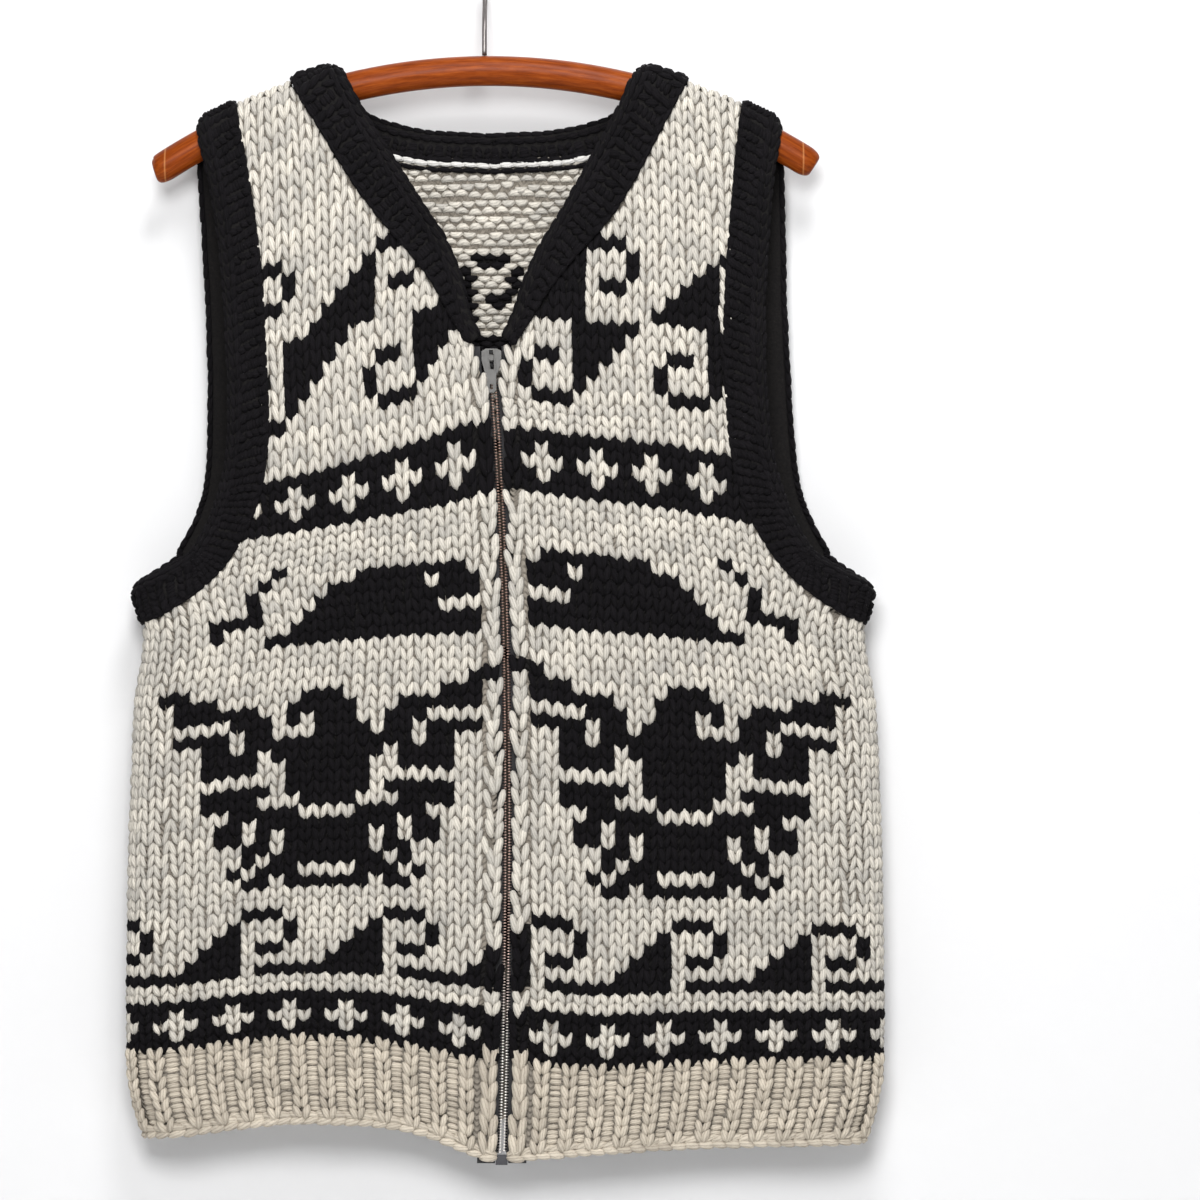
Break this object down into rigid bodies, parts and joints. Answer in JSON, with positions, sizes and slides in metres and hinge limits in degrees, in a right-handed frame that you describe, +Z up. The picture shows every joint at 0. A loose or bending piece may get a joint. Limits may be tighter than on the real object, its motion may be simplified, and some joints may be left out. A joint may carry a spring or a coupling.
{
  "type": "knitted zip vest on a wooden hanger",
  "caption": "Sleeveless bulky-wool zip vest with traditional knitted bands and figures, hanging on a bent wooden hanger with a wire hook.",
  "frame": {"origin": "inside crown of the hook's bend, where the hook rests on a rail or a nail", "axes": "+Z up, -Y out of the vest's front, +X towards the wearer's left side"},
  "size_m": [0.4933, 0.0525, 0.7824],
  "materials": {
    "light_wool": "matte",
    "dark_wool": "matte",
    "zip_tape": "matte",
    "zip_metal": "satin",
    "zip_box": "satin",
    "hook_wire": "satin",
    "hanger_wood": "gloss"
  },
  "bodies": {
    "vest": {"front_left": "light_wool", "front_right": "light_wool", "back": "light_wool", "hem_rib_front_left": "light_wool", "hem_rib_front_right": "light_wool", "hem_rib_back": "light_wool", "armhole_band_left": "dark_wool", "armhole_band_right": "dark_wool", "neck_band": "dark_wool", "zip_tape_left": "zip_tape", "zip_tape_right": "zip_tape", "zip_chain": "zip_metal", "zip_slider": "zip_metal", "zip_bottom_box": "zip_box", "hanger_bow": "hanger_wood", "hanger_hook": "hook_wire"},
    "pull_tab": {"zip_pull_tab": "zip_metal"}
  },
  "joints": [
    {"name": "tab_swing", "type": "hinge", "parent": "vest", "child": "pull_tab", "pos_m": [0.00496, -0.01993, -0.25755], "axis": [-1, 0, 0], "range_deg": [0, 165]}
  ]
}
